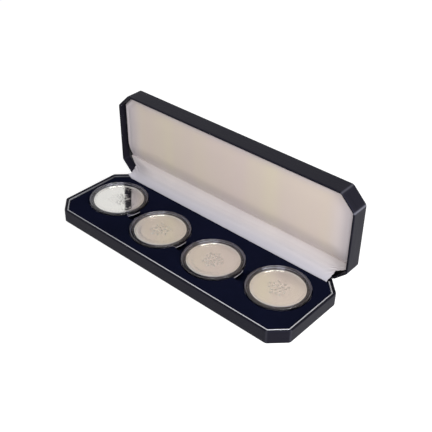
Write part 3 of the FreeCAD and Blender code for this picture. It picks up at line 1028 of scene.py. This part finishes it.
# Coins: struck silver crowns with a raised rim, a beaded border, a reeded edge and an ornament in the middle.
# Each has its own spray of leaves in a faint wreath, on a field polished like a mirror.
coin_radius = 19.3
coin_thickness = 3.0
coin_rim_width = 1.3
coin_rim_height = 0.25
coin_rim_rings = 15
edge_chamfer = 0.04
bead_ring = 17.2
bead_span = (16.75, 17.65)
bead_rings = 10
bead_size = 0.4
bead_height = 0.1
bead_count = 96
reed_count = 120
reed_depth = 0.1
spray_radius = 7.4
spray_span = (0, 10.5)
spray_rings = 64
leaf_length = 2.2
leaf_width = 1.0
leaf_height = 0.09
leaf_lean = 0.7
wreath_radius = 14.6
wreath_span = (10.7, 16.6)
wreath_rings = 44
wreath_leaves = 40
wreath_scale = 0.6
wreath_share = 0.5
vein_width = 0.25
vein_share = 0.5
golden_angle = np.pi * (3 - np.sqrt(5))
frost_share = 0.7
leaf_counts = [21, 17, 24, 19]


def coin_relief(radius, angle, leaf_count):
    """Height of the leaves over the field, and height of the beads near the rim.

    In the spray each leaf lies a golden angle on from the last, at a distance that grows with the root of
    its number. In the wreath leaves are spaced evenly. They lean to the left and the right by turns, and each
    is a paraboloid with a groove down its vein. Beads are flattened half-spheres.
    """
    spray = np.zeros_like(radius * angle)
    for number in range(leaf_count + wreath_leaves):
        in_spray = number < leaf_count
        away = spray_radius * np.sqrt((number + 0.5) / leaf_count) if in_spray else wreath_radius
        turn = number * (golden_angle if in_spray else 2 * np.pi / wreath_leaves)
        scale = 1 if in_spray else wreath_scale
        x = radius * np.cos(angle - turn) - away
        y = radius * np.sin(angle - turn)
        lean = leaf_lean * (-1) ** number
        lengthwise = (x * np.cos(lean) + y * np.sin(lean)) / (scale * leaf_length)
        crosswise = (y * np.cos(lean) - x * np.sin(lean)) / (scale * leaf_width)
        leaf = (1 if in_spray else wreath_share) * np.maximum(0, 1 - lengthwise**2 - crosswise**2)
        spray = np.maximum(spray, leaf * (1 - vein_share * np.exp(-((crosswise / vein_width) ** 2))))
    bead_step = 2 * np.pi / bead_count
    bead_way = ((angle + bead_step / 2) % bead_step - bead_step / 2) * radius
    bead = np.sqrt(np.maximum(0, 1 - (bead_way**2 + (radius - bead_ring) ** 2) / bead_size**2))
    return leaf_height * spray, bead_height * bead


def coin_grid(leaf_count, columns=480):
    """One coin as a grid of rings: from the middle of its upper face over the reeded edge and back below.

    The rim is a half-ellipse across, and the edge goes in and out by a cosine. The lower face mirrors every
    second ring of the upper one. Also returned is how far the design is frosted, by its height.
    """
    field = coin_radius - coin_rim_width
    rings = np.concatenate(
        [
            np.linspace(*spray_span, spray_rings),
            np.linspace(*wreath_span, wreath_rings),
            np.linspace(*bead_span, bead_rings),
            field + coin_rim_width * (crowded(coin_rim_rings) + 1) / 2,
        ]
    )[:, None]
    angle = np.linspace(0, 2 * np.pi, columns, endpoint=False)[None]
    design, bead = coin_relief(rings, angle, leaf_count)
    rim_way = np.clip(2 * (rings - field) / coin_rim_width - 1, -1, 1)
    rim = coin_rim_height * np.sqrt(1 - rim_way**2)
    height = coin_thickness / 2 - coin_rim_height + rim + design + bead
    reed = coin_radius - reed_depth * (0.5 - 0.5 * np.cos(reed_count * angle))
    reach = np.minimum(rings, reed - edge_chamfer)
    frost = np.clip(design / (frost_share * leaf_height), 0, 1)
    wall_height = np.array([1, -1])[:, None] * (coin_thickness / 2 - coin_rim_height - edge_chamfer)
    upper = np.stack([reach * np.cos(angle), reach * np.sin(angle), height], -1)
    reed, wall_height = np.broadcast_arrays(reed, wall_height)
    wall = np.stack([reed * np.cos(angle), reed * np.sin(angle), wall_height], -1)
    lower = upper[::-2] * [1, 1, -1]
    return np.concatenate([upper, wall, lower]), np.concatenate([frost, 0 * wall[..., 0], frost[::-2]])


# Struck silver: mirror fields and a frosted design, with a faint patchy haze
silver_patch = 5 * mm
frost_roughness = 0.32
silver = blank_material("silver_struck_mirror")
place = add_node(silver, "ShaderNodeTexCoord", "Object")
haze = add_node(
    silver, "ShaderNodeTexNoise", "Fac", {"Vector": place, "Scale": 1 / silver_patch, "Detail": 5}
)
frosted = add_node(silver, "ShaderNodeAttribute", "Fac", attribute_name="frost")
polish = add_node(silver, "ShaderNodeMapRange", "Result", {"Value": haze, "To Min": 0.04, "To Max": 0.12})
gloss = add_node(
    silver,
    "ShaderNodeMix",
    "Result",
    {"Factor": frosted, "A": polish, "B": frost_roughness},
    data_type="FLOAT",
)
shader = add_node(
    silver,
    "ShaderNodeBsdfPrincipled",
    "BSDF",
    {"Base Color": linear("#fffdf8"), "Metallic": 1.0, "Roughness": gloss},
)
add_node(silver, "ShaderNodeOutputMaterial", inputs={"Surface": shader})

for number, leaf_count in zip(capsule_numbers, leaf_counts):
    coin_points, frost = coin_grid(leaf_count)
    coin_middle = capsule_seat(number) + [0, 0, capsule_floor + coin_thickness / 2]
    coin = surface(
        f"silver_coin_{number}",
        [(coin_middle + coin_points, (False, True))],
        silver,
        {"frost": [frost]},
    )
    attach(coin, f"capsule_{number}")
    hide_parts(f"coin_{number}")

# Stage: a plain white floor and white surroundings, with a level light from all round and two soft lamps, at
# the right and the front right. Its sizes are in metres.
floor_half = 1.5
floor_mesh = bpy.data.meshes.new("floor")
floor_corners = floor_half * np.array([(-1, -1, 0), (1, -1, 0), (1, 1, 0), (-1, 1, 0)])
floor_mesh.from_pydata(floor_corners, [], [(0, 1, 2, 3)])
floor = bpy.data.objects.new("floor", floor_mesh)
bpy.context.scene.collection.objects.link(floor)


def seen_level(owner, matt, camera, mirror):
    """A level by kind of ray: one that lights matt surfaces, one seen directly, one seen by mirror or glass.

    It is the highest of those that the ray belongs to.
    """
    level = matt
    levels = {"Is Camera Ray": camera, "Is Glossy Ray": mirror, "Is Transmission Ray": mirror}
    for kind, seen in levels.items():
        ray = add_node(owner, "ShaderNodeLightPath", kind)
        raised = add_node(owner, "ShaderNodeMath", "Value", {0: ray, 1: seen}, operation="MULTIPLY")
        level = add_node(owner, "ShaderNodeMath", "Value", {0: level, 1: raised}, operation="MAXIMUM")
    return level


# White card: lit as the rest, and lifted towards white where it is seen
card = blank_material("card_white")
lift = seen_level(card, matt=0.0, camera=0.78, mirror=0.4)
shader = add_node(
    card,
    "ShaderNodeBsdfPrincipled",
    "BSDF",
    {
        "Base Color": linear("#b9b9b9"),
        "Roughness": 1.0,
        "Specular IOR Level": 0.0,
        "Emission Color": linear("#ffffff"),
        "Emission Strength": lift,
    },
)
add_node(card, "ShaderNodeOutputMaterial", inputs={"Surface": shader})
floor_mesh.materials.append(card)

# Surroundings: white to the camera, a little darker in mirrors, and a level light on everything else
world = bpy.data.worlds.new("studio")
world.use_nodes = True
world.node_tree.nodes.clear()
level = seen_level(world, matt=0.34, camera=1.0, mirror=0.76)
light = add_node(
    world, "ShaderNodeBackground", "Background", {"Color": linear("#ffffff"), "Strength": level}
)
add_node(world, "ShaderNodeOutputWorld", inputs={"Surface": light})
bpy.context.scene.world = world


def stand(name, data, place, axes):
    """Puts a lamp or a camera at a place, with its own three axes along the given ones."""
    holder = bpy.data.objects.new(name, data)
    bpy.context.scene.collection.objects.link(holder)
    turn = np.eye(4)
    turn[:3, :3] = np.transpose(axes)
    turn[:3, 3] = place
    holder.matrix_world = turn.T
    return holder


def soft_box(name, place, aim, size, power):
    """A square area light at a place that faces a point, with two of its edges level."""
    lamp = bpy.data.lights.new(name, "AREA")
    lamp.size = size
    lamp.energy = power
    back = np.array(place) - np.array(aim)
    back = back / np.linalg.norm(back)
    right = np.cross([0, 0, 1], back)
    right = right / np.linalg.norm(right)
    stand(name, lamp, place, [right, np.cross(back, right), back])


soft_box("window_right", place=(1.0, -0.2, 0.45), aim=(0, 0, 0.03), size=0.6, power=12.0)
soft_box("front_right", place=(0.38, -0.46, 0.4), aim=(0.06, 0.03, 0.04), size=0.3, power=2.5)

# Camera: a short telephoto from the front right, above the case.
# It looks down by its elevation and is rolled a little about its own line of sight.
azimuth, elevation, roll = np.radians([40.673, 34.827, -1.541])
camera_place = (0.3012, -0.32391, 0.34177)
camera_data = bpy.data.cameras.new("camera")
camera_data.lens = 64.387
camera_data.sensor_width = 36
right = np.array([np.cos(azimuth), np.sin(azimuth), 0])
back = np.cos(elevation) * np.cross(right, [0, 0, 1]) + np.sin(elevation) * np.array([0, 0, 1])
tilt = np.array([[np.cos(roll), -np.sin(roll), 0], [np.sin(roll), np.cos(roll), 0], [0, 0, 1]])
camera_axes = tilt @ np.stack([right, np.cross(back, right), back])
bpy.context.scene.camera = stand("camera", camera_data, camera_place, camera_axes)
bpy.context.scene.view_settings.view_transform = "Standard"
